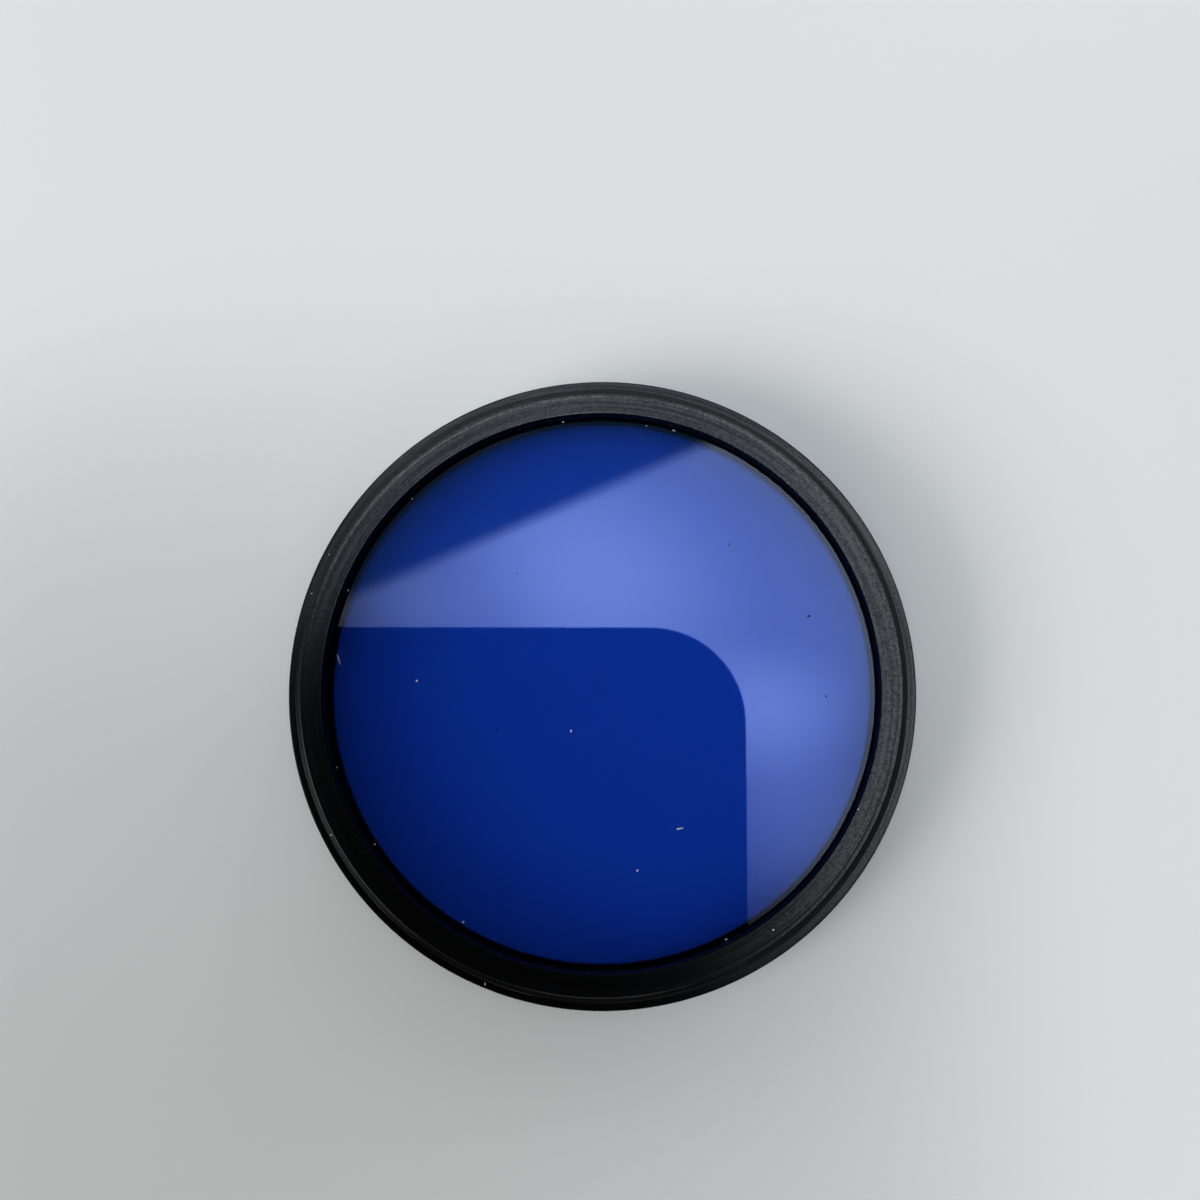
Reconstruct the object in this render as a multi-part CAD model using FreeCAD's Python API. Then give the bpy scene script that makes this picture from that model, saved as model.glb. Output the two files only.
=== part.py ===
# Screw-in colour conversion filter for a camera lens, in millimetres with +Z up.
# A disc of blue glass lies on a lip inside a turned ring, and a threaded retaining ring clamps it there.
# The origin is the centre of the front rim, the face that the filter lies on.
# The male thread for the lens points up, and the female thread for a second filter opens downwards.
import FreeCAD, Part
import math
import os

# Filter thread, ISO metric fine, used both for the male and for the female thread
THREAD_DIAMETER = 52.0
THREAD_PITCH = 0.75
MALE_DEPTH_RATIO = 0.6134  # depth of the male thread over its pitch
FEMALE_DEPTH_RATIO = 0.5413  # and of the female thread
THREAD_RELIEF = 0.1  # how far a relief groove goes past the thread's root
RELIEF_WIDTH = 0.4

# Ring: the grip is the part held by the fingers, the barrel carries the male thread
RIM_WALL = 1.0  # outside of the grip beyond the thread diameter
SOCKET_DEPTH = 2.7  # front rim to the floor of the female thread's socket
SOCKET_LEAD_IN = 0.5
BARREL_LENGTH = 2.05
BARREL_WALL = 2.4  # outside of the thread to the rear aperture
BARREL_CHAMFER_WIDTH = 0.55
BARREL_CHAMFER_HEIGHT = 0.45
EDGE_BREAK = 0.12  # small chamfer on the sharp edges of the ring

# Grip: two plain lands with a band of straight knurling between them, set off by two turned necks
LAND_HEIGHT = 0.8
NECK_WIDTH = 0.25
NECK_MARGIN = 0.07  # how much deeper than the knurling the necks are
KNURL_PITCH = 1.41  # along the outside; the count is the nearest whole one
KNURL_WIDTH = 0.8
KNURL_DEPTH = 0.18

# Seat of the glass
LIP_THICKNESS = 1.4  # rear end face to the glass
LIP_OVERLAP = 1.0  # how far the lip reaches over the glass
GLASS_THICKNESS = 2.1
GLASS_BEVEL = 0.15
GLASS_CLEARANCE = 0.1  # radial play of the glass in its seat

# Retaining ring, which screws in from the front until it lies on the glass
RETAINER_THICKNESS = 0.85
RETAINER_WIDTH = 1.45
RETAINER_STEP = 0.2  # its tapped bore beyond the glass seat
RETAINER_RUNOUT = 0.15  # its tapped bore past the front face of the glass
RETAINER_CLEARANCE = 0.05
RETAINER_BEVEL = 0.3
NOTCH_WIDTH = 1.6  # notches for a spanner wrench
NOTCH_DEPTH = 0.4
NOTCH_COUNT = 2

# Radii
thread_radius = THREAD_DIAMETER / 2
male_root_radius = thread_radius - MALE_DEPTH_RATIO * THREAD_PITCH
female_crest_radius = thread_radius - FEMALE_DEPTH_RATIO * THREAD_PITCH
outer_radius = thread_radius + RIM_WALL
aperture_radius = thread_radius - BARREL_WALL
seat_radius = aperture_radius + LIP_OVERLAP
glass_radius = seat_radius - GLASS_CLEARANCE
retainer_bore_radius = seat_radius + RETAINER_STEP
retainer_radius = retainer_bore_radius - RETAINER_CLEARANCE
retainer_inner_radius = retainer_radius - RETAINER_WIDTH

# Heights, stacked up from the front rim
glass_front = SOCKET_DEPTH + RETAINER_THICKNESS
glass_rear = glass_front + GLASS_THICKNESS
barrel_end = glass_rear + LIP_THICKNESS
shoulder = barrel_end - BARREL_LENGTH
lower_neck = LAND_HEIGHT
upper_neck = shoulder - LAND_HEIGHT - NECK_WIDTH


def turned(outline):
    """Solid of revolution about Z from a closed outline of (radius, height) points."""
    corners = [FreeCAD.Vector(radius, 0, height) for radius, height in outline]
    section = Part.Face(Part.makePolygon(corners + corners[:1]))
    return section.revolve(FreeCAD.Vector(0, 0, 0), FreeCAD.Vector(0, 0, 1), 360)


def grip_profile():
    """Outside of the grip, from the front rim up to the shoulder."""
    neck_radius = outer_radius - KNURL_DEPTH - NECK_MARGIN
    profile = [(outer_radius - EDGE_BREAK, 0), (outer_radius, EDGE_BREAK)]
    for neck in (lower_neck, upper_neck):
        profile += [
            (outer_radius, neck),
            (neck_radius, neck),
            (neck_radius, neck + NECK_WIDTH),
            (outer_radius, neck + NECK_WIDTH),
        ]
    return profile + [(outer_radius, shoulder - EDGE_BREAK), (outer_radius - EDGE_BREAK, shoulder)]


def barrel_profile():
    """Male thread with its relief groove and end chamfer, then the end face of the barrel."""
    relief_radius = male_root_radius - THREAD_RELIEF
    return [
        (relief_radius, shoulder),
        (relief_radius, shoulder + RELIEF_WIDTH),
        (thread_radius, shoulder + RELIEF_WIDTH),
        (thread_radius, barrel_end - BARREL_CHAMFER_HEIGHT),
        (thread_radius - BARREL_CHAMFER_WIDTH, barrel_end),
        (aperture_radius + EDGE_BREAK, barrel_end),
    ]


def bore_profile():
    """Aperture, lip and seat of the glass, tapped bore of the retaining ring, then the front socket."""
    socket_root_radius = thread_radius + THREAD_RELIEF
    return [
        (aperture_radius, barrel_end - EDGE_BREAK),
        (aperture_radius, glass_rear),
        (seat_radius, glass_rear),
        (seat_radius, glass_front + RETAINER_RUNOUT),
        (retainer_bore_radius, glass_front + RETAINER_RUNOUT),
        (retainer_bore_radius, SOCKET_DEPTH),
        (socket_root_radius, SOCKET_DEPTH),
        (socket_root_radius, SOCKET_DEPTH - RELIEF_WIDTH),
        (female_crest_radius, SOCKET_DEPTH - RELIEF_WIDTH),
        (female_crest_radius, SOCKET_LEAD_IN),
        (socket_root_radius, 0),
    ]


def knurl_grooves():
    """Straight V grooves round the grip, each running out into the two necks."""
    apex = FreeCAD.Vector(outer_radius - KNURL_DEPTH, 0, lower_neck + NECK_WIDTH / 2)
    sides = [FreeCAD.Vector(outer_radius + KNURL_DEPTH, side * KNURL_WIDTH, apex.z) for side in (-1, 1)]
    triangle = Part.Face(Part.makePolygon([apex, *sides, apex]))
    groove = triangle.extrude(FreeCAD.Vector(0, 0, upper_neck - lower_neck))
    count = round(2 * math.pi * outer_radius / KNURL_PITCH)
    grooves = []
    for index in range(count):
        copy = groove.copy()
        copy.rotate(FreeCAD.Vector(0, 0, 0), FreeCAD.Vector(0, 0, 1), index * 360 / count)
        grooves.append(copy)
    return Part.makeCompound(grooves)


def filter_ring():
    """The ring is one turned piece, grip, barrel, lip and socket, with its grip knurled afterwards."""
    return turned(grip_profile() + barrel_profile() + bore_profile()).cut(knurl_grooves())


def filter_glass():
    """Flat disc of blue glass with a small bevel on both edges."""
    return turned([
        (0, glass_front),
        (glass_radius - GLASS_BEVEL, glass_front),
        (glass_radius, glass_front + GLASS_BEVEL),
        (glass_radius, glass_rear - GLASS_BEVEL),
        (glass_radius - GLASS_BEVEL, glass_rear),
        (0, glass_rear),
    ])


def retaining_ring():
    """Threaded ring that clamps the glass, flush with the socket's floor.

    Its front inner edge is bevelled, and its front face is notched for a spanner wrench.
    """
    ring = turned([
        (retainer_inner_radius + RETAINER_BEVEL, SOCKET_DEPTH),
        (retainer_radius, SOCKET_DEPTH),
        (retainer_radius, glass_front),
        (retainer_inner_radius, glass_front),
        (retainer_inner_radius, SOCKET_DEPTH + RETAINER_BEVEL),
    ])
    notch = Part.makeBox(
        outer_radius, NOTCH_WIDTH, 2 * NOTCH_DEPTH,
        FreeCAD.Vector(0, -NOTCH_WIDTH / 2, SOCKET_DEPTH - NOTCH_DEPTH),
    )
    for index in range(NOTCH_COUNT):
        cutter = notch.copy()
        cutter.rotate(FreeCAD.Vector(0, 0, 0), FreeCAD.Vector(0, 0, 1), index * 360 / NOTCH_COUNT)
        ring = ring.cut(cutter)
    return ring


os.makedirs("parts", exist_ok=True)
filter_ring().exportStep("parts/filter_ring.step")
filter_glass().exportStep("parts/filter_glass.step")
retaining_ring().exportStep("parts/retaining_ring.step")
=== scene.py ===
# A screw-in colour conversion filter for a camera lens, lying front side down with its male thread up.
# Lengths are written in millimetres and angles in degrees. Meshes are made in metres.
import math
import random

import bmesh
import bpy
from mathutils import Matrix, Vector


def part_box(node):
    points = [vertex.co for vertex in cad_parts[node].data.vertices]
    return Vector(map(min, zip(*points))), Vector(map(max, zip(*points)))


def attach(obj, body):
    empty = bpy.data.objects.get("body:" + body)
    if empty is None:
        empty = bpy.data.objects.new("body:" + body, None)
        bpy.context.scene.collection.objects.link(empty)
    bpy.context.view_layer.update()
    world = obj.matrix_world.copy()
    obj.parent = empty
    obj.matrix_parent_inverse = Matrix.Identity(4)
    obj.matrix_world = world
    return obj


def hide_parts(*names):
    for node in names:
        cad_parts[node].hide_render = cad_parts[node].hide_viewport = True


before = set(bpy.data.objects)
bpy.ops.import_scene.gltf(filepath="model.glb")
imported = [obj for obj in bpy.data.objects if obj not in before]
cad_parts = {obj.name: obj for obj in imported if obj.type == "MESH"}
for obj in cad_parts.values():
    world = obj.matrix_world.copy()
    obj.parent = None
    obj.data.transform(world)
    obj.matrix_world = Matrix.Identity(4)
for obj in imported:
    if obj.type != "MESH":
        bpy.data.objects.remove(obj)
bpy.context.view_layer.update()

MM = 0.001

# The ring is one piece of aluminium, turned on a lathe: a knurled grip, a barrel with the male thread, and
# a socket with the female thread. It is anodised satin black, and the tool's fine circles still show in
# the finish. Nothing holds it, because it is what holds the rest.
ring_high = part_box("filter_ring")[1]
GRIP_RADIUS = ring_high.x / MM
BARREL_END = ring_high.z / MM
BARREL_LENGTH = 2.05
SHOULDER = BARREL_END - BARREL_LENGTH
THREAD_RADIUS = 26.0
THREAD_PITCH = 0.75
THREAD_FLAT_SHARE = 1 / 16  # half of a crest's or a root's width over the pitch
MALE_THREAD_DEPTH = 0.46
FEMALE_THREAD_DEPTH = 0.406
RELIEF_DEPTH = 0.1
RELIEF_WIDTH = 0.4
END_CHAMFER_WIDTH = 0.55
END_CHAMFER_HEIGHT = 0.45
APERTURE_RADIUS = 23.6
LIP_THICKNESS = 1.4
GLASS_REAR = BARREL_END - LIP_THICKNESS
SEAT_RADIUS = 24.6
TAPPED_BORE_RADIUS = 24.8
TAPPED_BORE_END = 3.7
SOCKET_DEPTH = 2.7
SOCKET_LEAD_IN = 0.5
LAND_HEIGHT = 0.8
NECK_WIDTH = 0.25
NECK_DEPTH = 0.25
KNURL_COUNT = 120
KNURL_DEPTH = 0.18
KNURL_WIDTH = 0.8
STEPS_PER_KNURL = 6
MALE_ROW_HEIGHT = 0.065
FEMALE_ROW_HEIGHT = 0.075
FACE_STEP_RADIUS = 25.03
FACE_STEP_WIDTH = 0.1
FACE_STEP_MIDDLE = 0.012
FACE_STEP_HEIGHT = 0.015
RIM_EDGE = 0.12
BORE_EDGE = 0.1
KNURL_EDGE = 0.06
TAPPED_EDGE = 0.06
FACE_EDGE = 0.045
SMALL_EDGE = 0.04
FINE_EDGE = 0.03
FLAT_MARGIN = 0.02
SHARP_EDGE = 25
BORE_MARGIN = 0.05
RIM_MARGIN = 0.05
THREAD_MARGIN = 0.1
FACE_MARGIN = 0.01
CIRCLES_PER_MM = 4.5
CIRCLES_ALONG = 60.0
GRAIN_SCALE = 5200.0
CLOUDING_SCALE = 350.0
DUST_SCALE = 2200.0
DUST_GRAIN_SIZE = 0.16
DUST_COLOUR = (0.05, 0.052, 0.055)
MOTTLE_WEIGHTS = (0.45, 0.35, 0.2)  # of circles, grain and clouding
FADED_RANGE = (0.42, 0.62)
PORE_WEIGHTS = (0.5, 0.5)  # of circles and grain
PORE_RANGE = (0.38, 0.62)
PORE_DARKNESS = 0.6
GRAIN_ROUGHNESS = 0.2
RELIEF_WEIGHTS = (0.6, 0.4)  # of circles and grain
RELIEF_STRENGTH = 0.6


def rounded_outline(corners):
    """Outline of (radius, height) points. Each corner (radius, height, size) is rounded by its size.

    A small one is a plain chamfer. Beside a larger one lie two more points, which keep the shading of the
    flats flat.
    """
    outline = []
    for index, (radius, height, size) in enumerate(corners):
        corner = Vector((radius, height))
        if size == 0:
            outline.append((radius, height))
            continue
        ends, beside = [], []
        for neighbour in (corners[index - 1], corners[(index + 1) % len(corners)]):
            along = Vector(neighbour[:2]) - corner
            ends.append(corner + along.normalized() * min(size, along.length / 2))
            beside.append(corner + along.normalized() * min(size + FLAT_MARGIN, along.length / 2))
        arc_steps = 3 if size > SMALL_EDGE else 1
        points = []
        for step in range(arc_steps + 1):
            way = step / arc_steps
            points.append(ends[0] * (1 - way) ** 2 + corner * 2 * way * (1 - way) + ends[1] * way ** 2)
        if size > SMALL_EDGE:
            points = [beside[0], *points, beside[1]]
        outline += [tuple(point) for point in points]
    return outline


def turned_mesh(name, rows, steps, closed=True):
    """Mesh turned about Z. Each row is a function of the angle that gives radius and height."""
    vertices = []
    for row in rows:
        for step in range(steps):
            angle = 2 * math.pi * step / steps
            radius, height = row(angle)
            vertices.append((radius * math.cos(angle) * MM, radius * math.sin(angle) * MM, height * MM))
    faces = []
    for low in range(len(rows) if closed else len(rows) - 1):
        first, second = low * steps, (low + 1) % len(rows) * steps
        for step in range(steps):
            following = (step + 1) % steps
            faces.append((first + step, first + following, second + following, second + step))
    if not closed:
        faces.append(tuple(reversed(range(steps))))
        faces.append(tuple((len(rows) - 1) * steps + step for step in range(steps)))
    mesh = bpy.data.meshes.new(name)
    mesh.from_pydata(vertices, [], faces)
    piece = bpy.data.objects.new(name, mesh)
    bpy.context.scene.collection.objects.link(piece)
    return piece


def finish_shading(piece):
    """Smooth shading that keeps sharp edges sharp."""
    piece.data.shade_smooth()
    piece.data.set_sharp_from_angle(angle=math.radians(SHARP_EDGE))


def plain_row(radius, height):
    """Row that is a true circle."""
    return lambda angle: (radius, height)


def thread_cut(angle, height):
    """How deep a right-handed thread is cut here, from 0 on its crest to 1 at its root."""
    turns = height / THREAD_PITCH - angle / (2 * math.pi)
    from_root = abs(turns % 1 - 0.5) * THREAD_PITCH
    half_flat = THREAD_PITCH * THREAD_FLAT_SHARE
    crest_start = THREAD_PITCH / 2 - half_flat
    return min(max((crest_start - from_root) / (crest_start - half_flat), 0), 1)


def male_thread_row(radius, height):
    """Row of the male thread, which runs out where the end chamfer is below its root."""
    def row(angle):
        cut = MALE_THREAD_DEPTH * thread_cut(angle, height)
        return min(radius, THREAD_RADIUS - cut), height
    return row


def female_thread_row(radius, height):
    """Row of the female thread, which runs out in the lead-in chamfer."""
    def row(angle):
        cut = FEMALE_THREAD_DEPTH * thread_cut(angle, height)
        return max(radius, THREAD_RADIUS - FEMALE_THREAD_DEPTH + cut), height
    return row


def knurled_row(radius, height):
    """Row across the straight knurling of the grip."""
    pitch = 2 * math.pi * GRIP_RADIUS / KNURL_COUNT

    def row(angle):
        from_groove = abs((angle / (2 * math.pi) * KNURL_COUNT + 0.5) % 1 - 0.5) * pitch
        cut = max(1 - from_groove / (KNURL_WIDTH / 2), 0)
        return min(radius, GRIP_RADIUS - KNURL_DEPTH * cut), height
    return row


def between(first, last, spacing):
    """Points of a straight stretch of outline from first to last, both ends left out."""
    first, last = Vector(first), Vector(last)
    count = math.ceil((last - first).length / spacing)
    return [tuple(first.lerp(last, index / count)) for index in range(1, count)]


def grip_rows():
    """Outside of the grip, from the front rim up to the shoulder."""
    neck_radius = GRIP_RADIUS - NECK_DEPTH
    lower, upper = LAND_HEIGHT, SHOULDER - LAND_HEIGHT
    groove_radius = THREAD_RADIUS - MALE_THREAD_DEPTH - RELIEF_DEPTH
    outline = rounded_outline([
        (GRIP_RADIUS, 0, RIM_EDGE), (GRIP_RADIUS, lower, SMALL_EDGE), (neck_radius, lower, 0),
        (neck_radius, lower + NECK_WIDTH, 0), (GRIP_RADIUS, lower + NECK_WIDTH, KNURL_EDGE),
        (GRIP_RADIUS, upper - NECK_WIDTH, KNURL_EDGE), (neck_radius, upper - NECK_WIDTH, 0),
        (neck_radius, upper, 0), (GRIP_RADIUS, upper, SMALL_EDGE), (GRIP_RADIUS, SHOULDER, RIM_EDGE),
        (groove_radius, SHOULDER, FINE_EDGE), (groove_radius, 0, 0),
    ])[:-1]
    rows = []
    for radius, height in outline:
        knurled = lower + NECK_WIDTH <= height <= upper - NECK_WIDTH and radius > neck_radius
        rows.append((knurled_row if knurled else plain_row)(radius, height))
    return rows


def barrel_rows():
    """Relief groove, male thread, end chamfer and end face."""
    groove_radius = THREAD_RADIUS - MALE_THREAD_DEPTH - RELIEF_DEPTH
    thread_start = SHOULDER + RELIEF_WIDTH
    chamfer_start = (THREAD_RADIUS, BARREL_END - END_CHAMFER_HEIGHT)
    face_edge = THREAD_RADIUS - END_CHAMFER_WIDTH
    rows = [plain_row(groove_radius, thread_start)]
    thread = [(THREAD_RADIUS, thread_start)]
    thread += between((THREAD_RADIUS, thread_start), chamfer_start, MALE_ROW_HEIGHT)
    thread += [chamfer_start]
    thread += between(chamfer_start, (face_edge, BARREL_END), MALE_ROW_HEIGHT)[:-1]
    rows += [male_thread_row(radius, height) for radius, height in thread]
    face = rounded_outline([
        (face_edge + END_CHAMFER_WIDTH / 2, BARREL_END - END_CHAMFER_HEIGHT / 2, 0),
        (face_edge, BARREL_END, FACE_EDGE),
        (FACE_STEP_RADIUS + FACE_STEP_WIDTH / 2, BARREL_END, 0),
        (FACE_STEP_RADIUS, BARREL_END - FACE_STEP_MIDDLE, 0),
        (FACE_STEP_RADIUS - FACE_STEP_WIDTH / 2, BARREL_END - FACE_STEP_HEIGHT, 0),
        (APERTURE_RADIUS, BARREL_END - FACE_STEP_HEIGHT, BORE_EDGE),
        (APERTURE_RADIUS, GLASS_REAR, FINE_EDGE),
        (SEAT_RADIUS, GLASS_REAR, 0),
    ])[1:]
    return rows + [plain_row(radius, height) for radius, height in face]


def bore_rows():
    """Seat of the glass, tapped bore, then the socket with the female thread, down to the front rim."""
    crest = THREAD_RADIUS - FEMALE_THREAD_DEPTH
    groove_radius = THREAD_RADIUS + RELIEF_DEPTH
    thread_start = SOCKET_DEPTH - RELIEF_WIDTH
    outline = rounded_outline([
        (SEAT_RADIUS, GLASS_REAR, 0), (SEAT_RADIUS, TAPPED_BORE_END, 0),
        (TAPPED_BORE_RADIUS, TAPPED_BORE_END, 0), (TAPPED_BORE_RADIUS, SOCKET_DEPTH, TAPPED_EDGE),
        (groove_radius, SOCKET_DEPTH, FINE_EDGE), (groove_radius, thread_start, 0),
    ])[1:]
    rows = [plain_row(radius, height) for radius, height in outline]
    thread = [(crest, thread_start)]
    thread += between((crest, thread_start), (crest, SOCKET_LEAD_IN), FEMALE_ROW_HEIGHT)
    thread += [(crest, SOCKET_LEAD_IN)]
    thread += between((crest, SOCKET_LEAD_IN), (groove_radius, 0), FEMALE_ROW_HEIGHT)
    rows += [female_thread_row(radius, height) for radius, height in thread]
    return rows + [plain_row(groove_radius, 0)]


ring_rows = grip_rows() + barrel_rows() + bore_rows()
turned_ring = turned_mesh("turned_ring", ring_rows, KNURL_COUNT * STEPS_PER_KNURL)
finish_shading(turned_ring)
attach(turned_ring, "root")
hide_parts("filter_ring")


def new_group(name, inputs, outputs):
    """Node group with its sockets, and its two end nodes. Inputs are (name, kind, value)."""
    group = bpy.data.node_groups.new(name, "ShaderNodeTree")
    for label, kind, value in inputs:
        socket = group.interface.new_socket(label, in_out="INPUT", socket_type=kind)
        if value is not None:
            socket.default_value = value
    for label, kind in outputs:
        group.interface.new_socket(label, in_out="OUTPUT", socket_type=kind)
    return group, group.nodes.new("NodeGroupInput"), group.nodes.new("NodeGroupOutput")


def calculate(tree, operation, *values):
    """Math node on sockets or plain numbers, which gives its output socket."""
    node = tree.nodes.new("ShaderNodeMath")
    node.operation = operation
    for index, value in enumerate(values):
        if isinstance(value, (int, float)):
            node.inputs[index].default_value = value
        else:
            tree.links.new(value, node.inputs[index])
    return node.outputs[0]


def weighted(tree, sockets, weights):
    """Sum of sockets, each times its weight."""
    shares = [calculate(tree, "MULTIPLY", socket, weight) for socket, weight in zip(sockets, weights)]
    total = shares[0]
    for share in shares[1:]:
        total = calculate(tree, "ADD", total, share)
    return total


def noise_value(tree, vector, scale, detail=2.0, roughness=0.5):
    """Noise texture at a scale per metre, which gives its output socket from 0 to 1."""
    node = tree.nodes.new("ShaderNodeTexNoise")
    node.inputs["Scale"].default_value = scale
    node.inputs["Detail"].default_value = detail
    node.inputs["Roughness"].default_value = roughness
    tree.links.new(vector, node.inputs["Vector"])
    return node.outputs["Fac"]


def spread(tree, value, low, high, to_low=0.0, to_high=1.0):
    """Stretches a value from low and high to two others, clamped and smoothed."""
    node = tree.nodes.new("ShaderNodeMapRange")
    node.interpolation_type = "SMOOTHSTEP"
    for label, number in (("From Min", low), ("From Max", high), ("To Min", to_low), ("To Max", to_high)):
        node.inputs[label].default_value = number
    tree.links.new(value, node.inputs["Value"])
    return node.outputs["Result"]


def turning_marks_group():
    """Fine circles that a lathe tool leaves: they change quickly across the turning and slowly along it.

    The radius has no share in them on a knurled outside, where they run at one height through the grooves.
    """
    group, given, made = new_group(
        "turning marks",
        [("Object Position", "NodeSocketVector", None), ("Radius Share", "NodeSocketFloat", 1.0),
         ("Circles per mm", "NodeSocketFloat", CIRCLES_PER_MM)],
        [("Circles", "NodeSocketFloat")],
    )
    split = group.nodes.new("ShaderNodeSeparateXYZ")
    group.links.new(given.outputs["Object Position"], split.inputs[0])
    across = calculate(group, "MULTIPLY", split.outputs["X"], split.outputs["X"])
    along = calculate(group, "MULTIPLY", split.outputs["Y"], split.outputs["Y"])
    radius = calculate(group, "SQRT", calculate(group, "ADD", across, along))
    radius = calculate(group, "MULTIPLY", radius, 1 / MM)
    height = calculate(group, "MULTIPLY", split.outputs["Z"], 1 / MM)
    radius_part = calculate(group, "MULTIPLY", radius, given.outputs["Radius Share"])
    travel = calculate(group, "ADD", radius_part, height)
    tool_path = calculate(group, "MULTIPLY", travel, given.outputs["Circles per mm"])
    stretched = group.nodes.new("ShaderNodeCombineXYZ")
    group.links.new(tool_path, stretched.inputs["X"])
    for axis, slow in (("X", "Y"), ("Y", "Z")):
        slowly = calculate(group, "MULTIPLY", split.outputs[axis], CIRCLES_ALONG)
        group.links.new(slowly, stretched.inputs[slow])
    group.links.new(noise_value(group, stretched.outputs[0], 1.0), made.inputs["Circles"])
    return group


def anodised_grain_group():
    """Etched grain of an anodised surface: fine mottling, with a coarser cloudiness of the dyed oxide."""
    group, given, made = new_group(
        "anodised grain",
        [("Object Position", "NodeSocketVector", None)],
        [("Grain", "NodeSocketFloat"), ("Clouding", "NodeSocketFloat")],
    )
    position = given.outputs["Object Position"]
    grain = noise_value(group, position, GRAIN_SCALE, roughness=0.7)
    group.links.new(grain, made.inputs["Grain"])
    group.links.new(noise_value(group, position, CLOUDING_SCALE, detail=3.0), made.inputs["Clouding"])
    return group


def settled_dust_group():
    """Tiny pale grains of dust, thinly scattered."""
    group, given, made = new_group(
        "settled dust",
        [("Object Position", "NodeSocketVector", None), ("Amount", "NodeSocketFloat", 0.02)],
        [("Dust", "NodeSocketFloat")],
    )
    cells = group.nodes.new("ShaderNodeTexVoronoi")
    cells.inputs["Scale"].default_value = DUST_SCALE
    group.links.new(given.outputs["Object Position"], cells.inputs["Vector"])
    chosen = group.nodes.new("ShaderNodeSeparateColor")
    group.links.new(cells.outputs["Color"], chosen.inputs[0])
    present = calculate(group, "LESS_THAN", chosen.outputs["Red"], given.outputs["Amount"])
    size = calculate(group, "MULTIPLY", chosen.outputs["Green"], DUST_GRAIN_SIZE)
    near = calculate(group, "LESS_THAN", cells.outputs["Distance"], size)
    group.links.new(calculate(group, "MULTIPLY", present, near), made.inputs["Dust"])
    return group


turning_marks = turning_marks_group()
anodised_grain = anodised_grain_group()
settled_dust = settled_dust_group()


def place_group(tree, group, **values):
    """Group node in a material, its inputs set by name with underscores for spaces."""
    node = tree.nodes.new("ShaderNodeGroup")
    node.node_tree = group
    for label, value in values.items():
        socket = node.inputs[label.replace("_", " ")]
        if isinstance(value, (int, float)):
            socket.default_value = value
        else:
            tree.links.new(value, socket)
    return node


def mixed_colour(tree, amount, first, second):
    """Colour between two colours or sockets, by an amount from 0 to 1.

    Three pairs of the node's sockets share one name, so the colour ones are taken by number.
    """
    node = tree.nodes.new("ShaderNodeMix")
    node.data_type = "RGBA"
    tree.links.new(amount, node.inputs["Factor"])
    for socket, value in ((node.inputs[6], first), (node.inputs[7], second)):
        if isinstance(value, tuple):
            socket.default_value = (*value, 1)
        else:
            tree.links.new(value, socket)
    return node.outputs[2]


def anodised_material(name, deep_colour, mottle_colour, roughness, relief_depth, dust_amount, gloss=0.5, radius_share=1.0):
    """Black anodised aluminium: dyed oxide, tool marks under it, a little dust on it.

    Its open pores are black and mirror less, so that the gloss is finely broken up.
    """
    material = bpy.data.materials.new(name)
    material.use_nodes = True
    tree = material.node_tree
    surface = tree.nodes["Principled BSDF"]
    surface.inputs["Specular IOR Level"].default_value = gloss
    position = tree.nodes.new("ShaderNodeTexCoord").outputs["Object"]
    marks = place_group(tree, turning_marks, Object_Position=position, Radius_Share=radius_share)
    etching = place_group(tree, anodised_grain, Object_Position=position)
    dust = place_group(tree, settled_dust, Object_Position=position, Amount=dust_amount)
    circles, grain = marks.outputs["Circles"], etching.outputs["Grain"]
    mottle = weighted(tree, (circles, grain, etching.outputs["Clouding"]), MOTTLE_WEIGHTS)
    colour = mixed_colour(tree, spread(tree, mottle, *FADED_RANGE), deep_colour, mottle_colour)
    colour = mixed_colour(tree, dust.outputs["Dust"], colour, DUST_COLOUR)
    tree.links.new(colour, surface.inputs["Base Color"])
    rough = calculate(tree, "ADD", calculate(tree, "MULTIPLY", grain, GRAIN_ROUGHNESS), roughness)
    tree.links.new(rough, surface.inputs["Roughness"])
    pores = weighted(tree, (circles, grain), PORE_WEIGHTS)
    tree.links.new(spread(tree, pores, *PORE_RANGE, 0.0, PORE_DARKNESS), surface.inputs["Metallic"])
    bump = tree.nodes.new("ShaderNodeBump")
    bump.inputs["Strength"].default_value = RELIEF_STRENGTH
    bump.inputs["Distance"].default_value = relief_depth * MM
    tree.links.new(weighted(tree, (circles, grain), RELIEF_WEIGHTS), bump.inputs["Height"])
    tree.links.new(bump.outputs["Normal"], surface.inputs["Normal"])
    return material


def ring_region(centre):
    """Which of the ring's finishes a face has: 0 turned faces, 1 threads, 2 bore, 3 grip."""
    radius, height = math.hypot(centre.x, centre.y) / MM, centre.z / MM
    if radius < APERTURE_RADIUS + BORE_MARGIN:
        return 2
    face_edge = THREAD_RADIUS - END_CHAMFER_WIDTH + FACE_MARGIN
    outside_threads = THREAD_RADIUS + 2 * RELIEF_DEPTH
    on_barrel = height > SHOULDER + THREAD_MARGIN
    in_socket = height < SOCKET_DEPTH - THREAD_MARGIN
    if (on_barrel or in_socket) and face_edge < radius < outside_threads:
        return 1
    return 3 if radius > outside_threads and RIM_MARGIN < height < SHOULDER - FACE_MARGIN else 0


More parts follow.
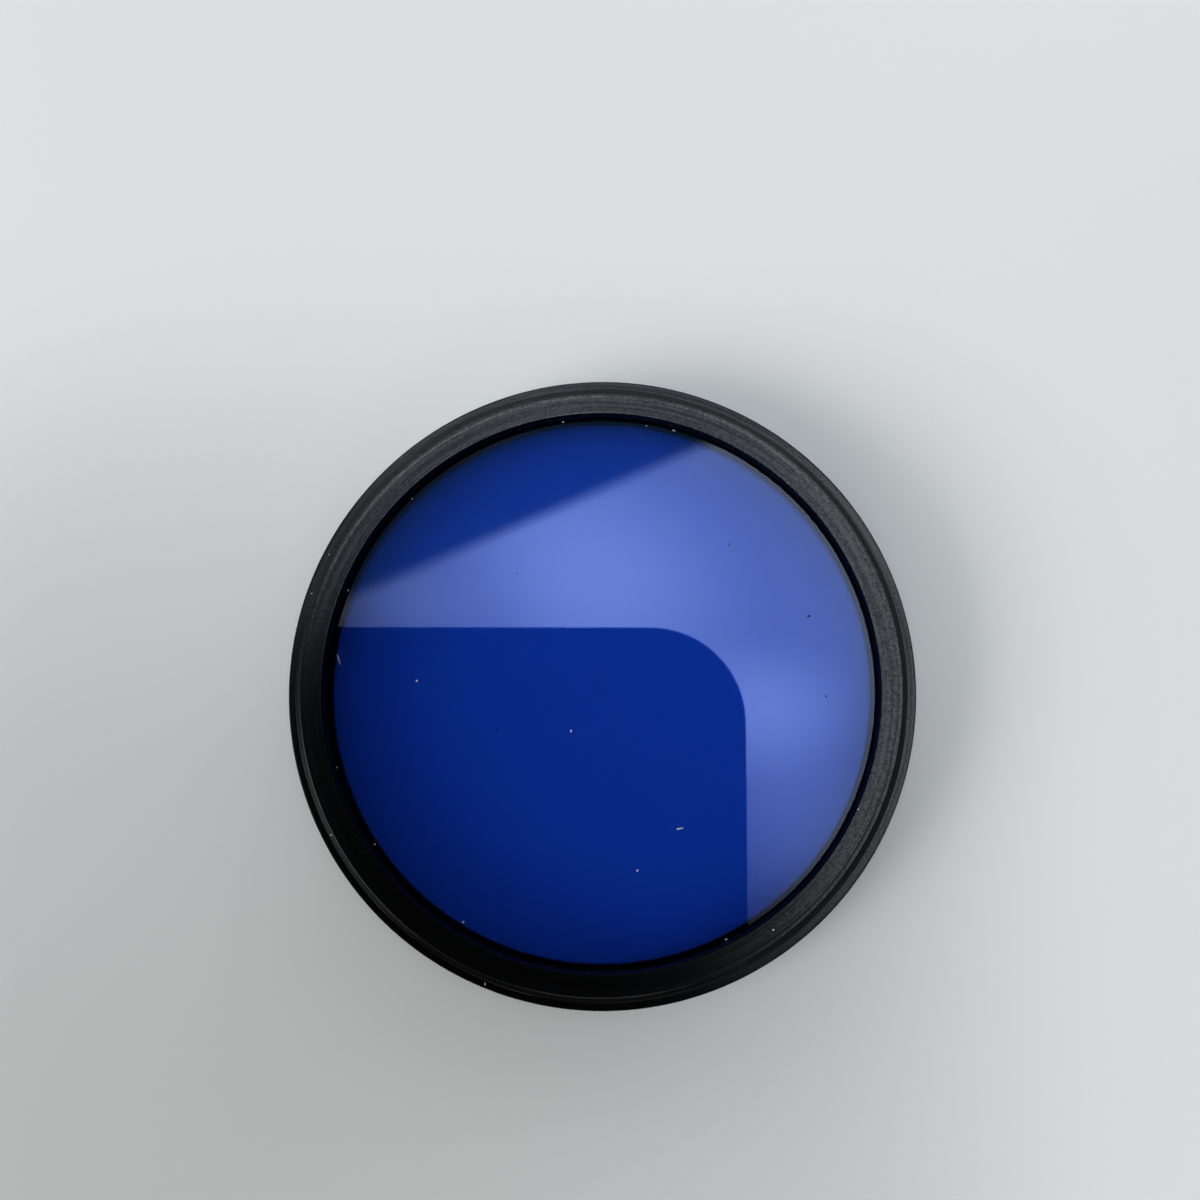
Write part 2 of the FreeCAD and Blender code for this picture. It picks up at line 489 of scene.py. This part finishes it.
for finish in (
        anodised_material(
            "black_anodised_faces", deep_colour=(0.0001, 0.0002, 0.0004), mottle_colour=(0.001, 0.0012, 0.0018),
            roughness=0.13, relief_depth=0.017, dust_amount=0.01),
        anodised_material(
            "black_anodised_threads", deep_colour=(0.0001, 0.0002, 0.0004), mottle_colour=(0.0008, 0.001, 0.0015),
            roughness=0.2, relief_depth=0.015, dust_amount=0.006, gloss=0.15),
        # The bore's navy colours are painted blue light, the glow the blue glass casts on the wall beside
        # it; the wall itself is black.
        anodised_material(
            "black_anodised_bore_painted_blue_light", deep_colour=(0.0006, 0.0012, 0.006), mottle_colour=(0.0009, 0.0017, 0.008),
            roughness=0.4, relief_depth=0.01, dust_amount=0.004, gloss=0.01),
        anodised_material(
            "black_anodised_grip", deep_colour=(0.0003, 0.0004, 0.0008), mottle_colour=(0.003, 0.0032, 0.0042),
            roughness=0.2, relief_depth=0.006, dust_amount=0.01, gloss=0.38, radius_share=0.0)):
    turned_ring.data.materials.append(finish)
for face in turned_ring.data.polygons:
    face.material_index = ring_region(face.center)

# The glass is one disc of deep blue optical glass, coloured through, ground flat and polished on both
# sides. Its edge is bevelled so that it doesn't chip. It lies against the ring's lip and isn't glued.
glass_low, glass_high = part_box("filter_glass")
GLASS_RADIUS = glass_high.x / MM
GLASS_FRONT = glass_low.z / MM
GLASS_BEVEL = 0.15
GLASS_STEPS = 256
GLASS_TINT = (0.11, 0.3, 0.97)
COATING_TINT = (0.66, 0.76, 1.0)
GLASS_INDEX = 1.54
WIPE_SCALE = 120.0
WIPE_RANGE = (0.5, 0.9)
WIPE_ROUGHNESS = 0.03

glass_outline = rounded_outline([
    (GLASS_RADIUS - GLASS_BEVEL, GLASS_FRONT, 0), (GLASS_RADIUS, GLASS_FRONT + GLASS_BEVEL, FINE_EDGE),
    (GLASS_RADIUS, GLASS_REAR - GLASS_BEVEL, FINE_EDGE), (GLASS_RADIUS - GLASS_BEVEL, GLASS_REAR, 0),
])
glass_rows = [plain_row(*point) for point in glass_outline]
blue_disc = turned_mesh("blue_disc", glass_rows, GLASS_STEPS, closed=False)
finish_shading(blue_disc)
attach(blue_disc, "root")
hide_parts("filter_glass")


def blue_glass_material():
    """Polished glass, blue all through, with the faintest wipe marks."""
    material = bpy.data.materials.new("blue_filter_glass")
    material.use_nodes = True
    tree = material.node_tree
    surface = tree.nodes["Principled BSDF"]
    surface.inputs["Base Color"].default_value = (*GLASS_TINT, 1)
    surface.inputs["IOR"].default_value = GLASS_INDEX
    surface.inputs["Transmission Weight"].default_value = 1.0
    surface.inputs["Specular Tint"].default_value = (*COATING_TINT, 1)
    position = tree.nodes.new("ShaderNodeTexCoord").outputs["Object"]
    wipe = noise_value(tree, position, WIPE_SCALE, detail=4.0, roughness=0.6)
    tree.links.new(spread(tree, wipe, *WIPE_RANGE, 0.0, WIPE_ROUGHNESS), surface.inputs["Roughness"])
    return material


blue_disc.data.materials.append(blue_glass_material())

# The retaining ring is a thin turned ring of black anodised aluminium with a fine thread outside. It is
# screwed into the tapped bore from the front, by a wrench in its two notches, until it clamps the glass.
retainer_low, retainer_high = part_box("retaining_ring")
RETAINER_RADIUS = retainer_high.x / MM
RETAINER_FRONT = retainer_low.z / MM
RETAINER_WIDTH = 1.45
RETAINER_INNER_RADIUS = RETAINER_RADIUS - RETAINER_WIDTH
RETAINER_BEVEL = 0.3
RETAINER_EDGE = 0.08
RETAINER_STEPS = 256
NOTCH_WIDTH = 1.6
NOTCH_DEPTH = 0.4

retainer_outline = rounded_outline([
    (RETAINER_INNER_RADIUS + RETAINER_BEVEL, RETAINER_FRONT, SMALL_EDGE),
    (RETAINER_RADIUS, RETAINER_FRONT, RETAINER_EDGE),
    (RETAINER_RADIUS, GLASS_FRONT, FINE_EDGE), (RETAINER_INNER_RADIUS, GLASS_FRONT, FINE_EDGE),
    (RETAINER_INNER_RADIUS, RETAINER_FRONT + RETAINER_BEVEL, SMALL_EDGE),
])
clamp_ring = turned_mesh("clamp_ring", [plain_row(*point) for point in retainer_outline], RETAINER_STEPS)


def cut_notches(ring):
    """Cuts the two wrench notches across the front face, with one long box through the axis."""
    box = bmesh.new()
    place = Matrix.Translation((0, 0, RETAINER_FRONT * MM))
    size = Matrix.Diagonal((4 * RETAINER_RADIUS * MM, NOTCH_WIDTH * MM, 2 * NOTCH_DEPTH * MM, 1))
    bmesh.ops.create_cube(box, size=1, matrix=place @ size)
    tool_mesh = bpy.data.meshes.new("notch_tool")
    box.to_mesh(tool_mesh)
    box.free()
    tool = bpy.data.objects.new("notch_tool", tool_mesh)
    bpy.context.scene.collection.objects.link(tool)
    cut = ring.modifiers.new("notches", "BOOLEAN")
    cut.object = tool
    cut.solver = "EXACT"
    finished = bpy.data.meshes.new_from_object(ring.evaluated_get(bpy.context.evaluated_depsgraph_get()))
    ring.modifiers.clear()
    ring.data = finished
    bpy.data.objects.remove(tool)


cut_notches(clamp_ring)
finish_shading(clamp_ring)
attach(clamp_ring, "root")
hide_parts("retaining_ring")
clamp_ring.data.materials.append(anodised_material(
    "black_anodised_retainer", deep_colour=(0.006, 0.0062, 0.009), mottle_colour=(0.014, 0.0145, 0.018),
    roughness=0.3, relief_depth=0.015, dust_amount=0.006))

# Dust and lint have settled on the filter since it was last wiped: a bent fibre and pale grains on the glass
# and the ring, and a few dark grains on the glass. Nothing holds them. Each grain is one irregular crumb.
# A crumb is written as its azimuth, radius, height, length, width and turn.
END_FACE = BARREL_END - FACE_STEP_HEIGHT
CHAMFER_HEIGHT = BARREL_END - 0.14
PALE_CRUMBS = (
    (-60, 13.65, GLASS_REAR, 0.66, 0.15, 10), (-78, 15.67, GLASS_REAR, 0.24, 0.15, 60),
    (-123, 4.40, GLASS_REAR, 0.28, 0.16, 75), (178, 15.70, GLASS_REAR, 0.24, 0.2, 20),
    (-145, 23.20, GLASS_REAR, 0.2, 0.15, 0), (-120, 22.74, GLASS_REAR, 0.22, 0.18, 40),
    (135, 23.23, GLASS_REAR, 0.14, 0.1, 110), (74, 23.29, GLASS_REAR, 0.3, 0.13, -20),
    (80, 23.19, GLASS_REAR, 0.16, 0.12, 50), (98, 23.42, GLASS_REAR, 0.2, 0.16, 0),
    (159, 23.4, GLASS_REAR, 0.2, 0.14, 70), (-163, 23.45, GLASS_REAR, 0.14, 0.12, 80),
    (-63, 23.45, GLASS_REAR, 0.22, 0.1, 25), (-54, 24.54, END_FACE, 0.17, 0.13, 30),
    (-25, 23.75, END_FACE, 0.14, 0.1, 80), (-151, 25.63, CHAMFER_HEIGHT, 0.18, 0.15, 0),
    (154, 26.46, SHOULDER, 0.13, 0.1, 45), (162, 26.50, SHOULDER, 0.15, 0.12, 0),
    (-111, 26.62, SHOULDER, 0.34, 0.09, 80),
)
DARK_CRUMBS = (
    (-158, 9.43, GLASS_REAR, 0.18, 0.14, 0), (19, 18.90, GLASS_REAR, 0.28, 0.22, 30),
    (-2, 19.25, GLASS_REAR, 0.2, 0.17, 90), (126, 12.16, GLASS_REAR, 0.2, 0.15, 10),
    (48, 16.65, GLASS_REAR, 0.18, 0.14, 60),
)
CRUMB_SEED = 7
CRUMB_LIFT = 0.2
CRUMB_HALF_HEIGHT = 0.35
CRUMB_ROUGHNESS = (0.7, 1.15)
CRUMB_GRAIN_SCALE = 20000.0
CRUMB_MATT = 0.9
PALE_COLOURS = ((0.72, 0.73, 0.75), (0.5, 0.5, 0.53))
DARK_COLOURS = ((0.01, 0.01, 0.012), (0.03, 0.03, 0.035))
FIBRE_AZIMUTH = 174
FIBRE_RADIUS = 22.63
FIBRE_BEND = (
    (-0.17, 0.42, 0.02), (-0.05, 0.26, 0.11), (0.0, 0.0, 0.14), (0.09, -0.2, 0.1), (0.17, -0.44, 0.02))
FIBRE_HALF_WIDTH = 0.034
FIBRE_TAPER = 0.5


def crumbs_mesh(name, crumbs):
    """Mesh of small irregular crumbs that lie on their places, flatter than they are wide."""
    rough_edge = random.Random(CRUMB_SEED)
    made = bmesh.new()
    for azimuth, radius, height, length, width, turned in crumbs:
        around = math.radians(azimuth)
        middle = height + CRUMB_LIFT * width
        place = Vector((radius * math.cos(around), radius * math.sin(around), middle)) * MM
        size = Matrix.Diagonal((length / 2 * MM, width / 2 * MM, CRUMB_HALF_HEIGHT * width * MM, 1))
        shape = Matrix.Translation(place) @ Matrix.Rotation(math.radians(turned), 4, "Z") @ size
        crumb = bmesh.ops.create_icosphere(made, subdivisions=2, radius=1, matrix=shape)
        for vertex in crumb["verts"]:
            vertex.co = place + (vertex.co - place) * rough_edge.uniform(*CRUMB_ROUGHNESS)
    mesh = bpy.data.meshes.new(name)
    made.to_mesh(mesh)
    made.free()
    mesh.shade_smooth()
    return mesh


def crumb_material(name, colour, shade):
    """Dry matt dust with a little unevenness."""
    material = bpy.data.materials.new(name)
    material.use_nodes = True
    tree = material.node_tree
    surface = tree.nodes["Principled BSDF"]
    surface.inputs["Roughness"].default_value = CRUMB_MATT
    position = tree.nodes.new("ShaderNodeTexCoord").outputs["Object"]
    uneven = noise_value(tree, position, CRUMB_GRAIN_SCALE)
    tree.links.new(mixed_colour(tree, uneven, colour, shade), surface.inputs["Base Color"])
    return material


def lint_fibre():
    """One short bent fibre, tapered to its ends."""
    curve = bpy.data.curves.new("lint_fibre", "CURVE")
    curve.dimensions = "3D"
    curve.bevel_depth = FIBRE_HALF_WIDTH * MM
    curve.bevel_resolution = 2
    curve.resolution_u = 6
    line = curve.splines.new("NURBS")
    line.points.add(len(FIBRE_BEND) - 1)
    around = math.radians(FIBRE_AZIMUTH)
    start = Vector((FIBRE_RADIUS * math.cos(around), FIBRE_RADIUS * math.sin(around), GLASS_REAR))
    for index, (point, bend) in enumerate(zip(line.points, FIBRE_BEND)):
        point.co = (*((start + Vector(bend)) * MM), 1)
        point.radius = FIBRE_TAPER if index in (0, len(FIBRE_BEND) - 1) else 1.0
    line.order_u = 3
    line.use_endpoint_u = True
    return bpy.data.objects.new("lint_fibre", curve)


pale_dust_finish = crumb_material("pale_dust", *PALE_COLOURS)
dark_dust_finish = crumb_material("dark_dust", *DARK_COLOURS)
pale_dust = bpy.data.objects.new("pale_dust", crumbs_mesh("pale_dust", PALE_CRUMBS))
dark_dust = bpy.data.objects.new("dark_dust", crumbs_mesh("dark_dust", DARK_CRUMBS))
fibre = lint_fibre()
for settled, finish in (
        (pale_dust, pale_dust_finish), (fibre, pale_dust_finish), (dark_dust, dark_dust_finish)):
    bpy.context.scene.collection.objects.link(settled)
    settled.data.materials.append(finish)
    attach(settled, "root")

# The camera stands close above the filter, a little to the right of its axis and nearer than it.
CAMERA_PLACE = (3.61, -3.35, SHOULDER + 103.5)
CAMERA_RIGHT = (0.99940, 0.003649, -0.03448)
CAMERA_UP = (0.0, 0.99445, 0.10526)
CAMERA_BACK = (0.03467, -0.10520, 0.99385)
SENSOR_WIDTH = 36.0
FRAME_PIXELS = 1200
FOCAL_PIXELS = 1202
NEAREST_SEEN = 1
FARTHEST_SEEN = 10000

camera_data = bpy.data.cameras.new("camera")
camera_data.sensor_fit = "HORIZONTAL"
camera_data.sensor_width = SENSOR_WIDTH
camera_data.lens = SENSOR_WIDTH * FOCAL_PIXELS / FRAME_PIXELS
camera_data.clip_start = NEAREST_SEEN * MM
camera_data.clip_end = FARTHEST_SEEN * MM
camera = bpy.data.objects.new("camera", camera_data)
camera_axes = Matrix((CAMERA_RIGHT, CAMERA_UP, CAMERA_BACK)).transposed()
camera.matrix_world = Matrix.Translation(Vector(CAMERA_PLACE) * MM) @ camera_axes.to_4x4()
bpy.context.scene.collection.objects.link(camera)
bpy.context.scene.camera = camera

# The floor is a plain pale sheet, matt and level. The filter's front rim lies on it.
FLOOR_HALF = 1500.0
FLOOR_COLOUR = (0.83, 0.83, 0.81)
FLOOR_ROUGHNESS = 0.9
FLOOR_GLOSS = 0.1

reach = FLOOR_HALF * MM
floor_mesh = bpy.data.meshes.new("floor")
floor_corners = [(-reach, -reach, 0), (reach, -reach, 0), (reach, reach, 0), (-reach, reach, 0)]
floor_mesh.from_pydata(floor_corners, [], [(0, 1, 2, 3)])
floor = bpy.data.objects.new("floor", floor_mesh)
bpy.context.scene.collection.objects.link(floor)
floor_paint = bpy.data.materials.new("pale_floor")
floor_paint.use_nodes = True
floor_surface = floor_paint.node_tree.nodes["Principled BSDF"]
floor_surface.inputs["Base Color"].default_value = (*FLOOR_COLOUR, 1)
floor_surface.inputs["Roughness"].default_value = FLOOR_ROUGHNESS
floor_surface.inputs["Specular IOR Level"].default_value = FLOOR_GLOSS
floor_mesh.materials.append(floor_paint)

# A dark card hangs level just above the camera, with one rounded corner to the upper right of it. The glass
# mirrors it, so that the blue shows there, and it shades the floor. The camera itself doesn't see it.
CARD_HEIGHT = 109.5
CARD_LEFT = -80.0
CARD_RIGHT = 21.4
CARD_BACK = 13.8
CARD_FRONT = -136.0
CARD_CORNER = 16.3
CARD_CORNER_STEPS = 24
CARD_COLOUR = (0.004, 0.004, 0.004)

card_outline = []
left, right = CARD_LEFT + CARD_CORNER, CARD_RIGHT - CARD_CORNER
front, back = CARD_FRONT + CARD_CORNER, CARD_BACK - CARD_CORNER
for corner_x, corner_y, start in (
        (right, back, 0), (left, back, 90), (left, front, 180), (right, front, 270)):
    for step in range(CARD_CORNER_STEPS + 1):
        turn = math.radians(start + 90 * step / CARD_CORNER_STEPS)
        card_outline.append(((corner_x + CARD_CORNER * math.cos(turn)) * MM,
                             (corner_y + CARD_CORNER * math.sin(turn)) * MM, CARD_HEIGHT * MM))
card_mesh = bpy.data.meshes.new("dark_card")
card_mesh.from_pydata(card_outline, [], [tuple(range(len(card_outline)))])
dark_card = bpy.data.objects.new("dark_card", card_mesh)
dark_card.visible_camera = False
bpy.context.scene.collection.objects.link(dark_card)
card_paint = bpy.data.materials.new("dark_card")
card_paint.use_nodes = True
card_surface = card_paint.node_tree.nodes["Principled BSDF"]
card_surface.inputs["Base Color"].default_value = (*CARD_COLOUR, 1)
card_surface.inputs["Roughness"].default_value = 1.0
card_surface.inputs["Specular IOR Level"].default_value = 0.0
card_mesh.materials.append(card_paint)

# The light is one broad soft window, overhead and to the upper right, in a dim room. A dark beam crosses it,
# a bright patch lies behind the card, and two soft lamps stand low on the left and in front. Places in the
# window are slopes: a direction's sideways run over its rise.
LOWEST_RISE = 0.02
WINDOW_LIGHT = (2.22, 2.44, 2.76)
WINDOW_TURN = 57
WINDOW_SIDE = (-0.12, 0.15)
WINDOW_END = (0.3, 0.64)
WINDOW_CLOUDS = (  # place, half width, half depth and strength
    (-0.07, 0.09, 0.19, 0.17, 1.35), (0.094, 0.01, 0.10, 0.075, 1.1), (0.098, -0.10, 0.12, 0.12, 0.9),
    (-0.21, 0.09, 0.1, 0.06, 1.2), (-0.02, 0.31, 0.3, 0.11, 0.45), (0.25, -0.02, 0.1, 0.16, -0.35),
)
SKYLIGHT = (13.5, 13.5, 13.6)
SKYLIGHT_PLACE = (-0.12, -0.13, 0.21, 0.21)
BEAM_LIGHT = (0.1, 0.22, 0.38)
ROOM_LIGHT = (0.16, 0.16, 0.17)
LOW_LIGHT_BACK = (1.65, 1.78, 1.82)
LOW_LIGHT_LEFT = (0.3, 0.305, 0.32)
LOW_LIGHT_RIGHT = (0.08, 0.1, 0.12)
DARK_LIGHT = (0.002, 0.002, 0.003)
SIDES_RANGE = (-0.5, 0.5)
BACK_RANGE = (0.0, 0.9)
LOW_RANGE = (0.8, 2.5)
DARK_TURN = 104
DARK_RANGE = (-0.6, -0.2)
LAMPS = ((205, 31, 23, 6.0), (268, 38, 17, 3.3))  # azimuth, elevation, half width and strength
BEAM_START = (0.0485, 0.235)
BEAM_TURN = 23.2
BEAM_WIDTH = 0.065
BEAM_NEAR_EDGE = (-0.009, 0.009)
BEAM_FAR_EDGE = (BEAM_WIDTH, BEAM_WIDTH + 0.05)
BEAM_END = (0.3, 0.6)


def studio_world():
    """World painted by direction: the room, the window with its beam, the bright patch and the lamps."""
    world = bpy.data.worlds.new("studio")
    bpy.context.scene.world = world
    world.use_nodes = True
    tree = world.node_tree
    generated = tree.nodes.new("ShaderNodeTexCoord").outputs["Generated"]
    direction = tree.nodes.new("ShaderNodeSeparateXYZ")
    tree.links.new(generated, direction.inputs[0])
    rise = calculate(tree, "MAXIMUM", direction.outputs["Z"], LOWEST_RISE)
    across = calculate(tree, "DIVIDE", direction.outputs["X"], rise)
    ahead = calculate(tree, "DIVIDE", direction.outputs["Y"], rise)

    def distance(x, y, width, depth):
        """Distance from a place in the window, as a share of the given half width and half depth."""
        off_x = calculate(tree, "DIVIDE", calculate(tree, "SUBTRACT", across, x), width)
        off_y = calculate(tree, "DIVIDE", calculate(tree, "SUBTRACT", ahead, y), depth)
        square_x = calculate(tree, "MULTIPLY", off_x, off_x)
        square_y = calculate(tree, "MULTIPLY", off_y, off_y)
        return calculate(tree, "SQRT", calculate(tree, "ADD", square_x, square_y))

    def along(first, second, degrees):
        """How far a point of two measures lies in a direction at an angle from the first measure."""
        turn = math.radians(degrees)
        return weighted(tree, (first, second), (math.cos(turn), math.sin(turn)))

    tilt = distance(0, 0, 1, 1)
    from_left = spread(tree, direction.outputs["X"], *SIDES_RANGE)
    sides = mixed_colour(tree, from_left, LOW_LIGHT_LEFT, LOW_LIGHT_RIGHT)
    low = mixed_colour(tree, spread(tree, direction.outputs["Y"], *BACK_RANGE), sides, LOW_LIGHT_BACK)
    room = mixed_colour(tree, spread(tree, tilt, *LOW_RANGE), ROOM_LIGHT, low)
    toward_back = along(direction.outputs["X"], direction.outputs["Y"], DARK_TURN)
    room = mixed_colour(tree, spread(tree, toward_back, *DARK_RANGE, 1.0, 0.0), room, DARK_LIGHT)
    within_side = spread(tree, along(across, ahead, WINDOW_TURN), *WINDOW_SIDE)
    within_end = spread(tree, tilt, *WINDOW_END, 1.0, 0.0)
    colour = mixed_colour(tree, calculate(tree, "MULTIPLY", within_side, within_end), room, WINDOW_LIGHT)

    from_start_x = calculate(tree, "SUBTRACT", across, BEAM_START[0])
    from_start_y = calculate(tree, "SUBTRACT", ahead, BEAM_START[1])
    past_beam = along(from_start_y, from_start_x, -BEAM_TURN)
    before_beam = spread(tree, past_beam, *BEAM_NEAR_EDGE, 1.0, 0.0)
    behind_beam = spread(tree, past_beam, *BEAM_FAR_EDGE)
    beside_beam = calculate(tree, "MAXIMUM", before_beam, behind_beam)
    clear = calculate(tree, "MAXIMUM", beside_beam, spread(tree, tilt, *BEAM_END))
    colour = mixed_colour(tree, clear, BEAM_LIGHT, colour)
    skylight = spread(tree, distance(*SKYLIGHT_PLACE), 0.0, 1.0, 1.0, 0.0)
    colour = mixed_colour(tree, skylight, colour, SKYLIGHT)

    brightness = 1.0
    for x, y, width, depth, strength in WINDOW_CLOUDS:
        spot = spread(tree, distance(x, y, width, depth), 0.0, 1.0, strength, 0.0)
        brightness = calculate(tree, "ADD", calculate(tree, "MULTIPLY", spot, clear), brightness)
    for azimuth, elevation, half_width, strength in LAMPS:
        turn, lift = math.radians(azimuth), math.radians(elevation)
        toward = tree.nodes.new("ShaderNodeVectorMath")
        toward.operation = "DOT_PRODUCT"
        toward.inputs[1].default_value = (
            math.cos(turn) * math.cos(lift), math.sin(turn) * math.cos(lift), math.sin(lift))
        tree.links.new(generated, toward.inputs[0])
        lamp = spread(tree, toward.outputs["Value"], math.cos(math.radians(half_width)), 1.0)
        colour = mixed_colour(tree, lamp, colour, (strength, strength, strength))
    background = tree.nodes["Background"]
    tree.links.new(colour, background.inputs["Color"])
    tree.links.new(brightness, background.inputs["Strength"])


studio_world()
bpy.context.scene.view_settings.view_transform = "Standard"
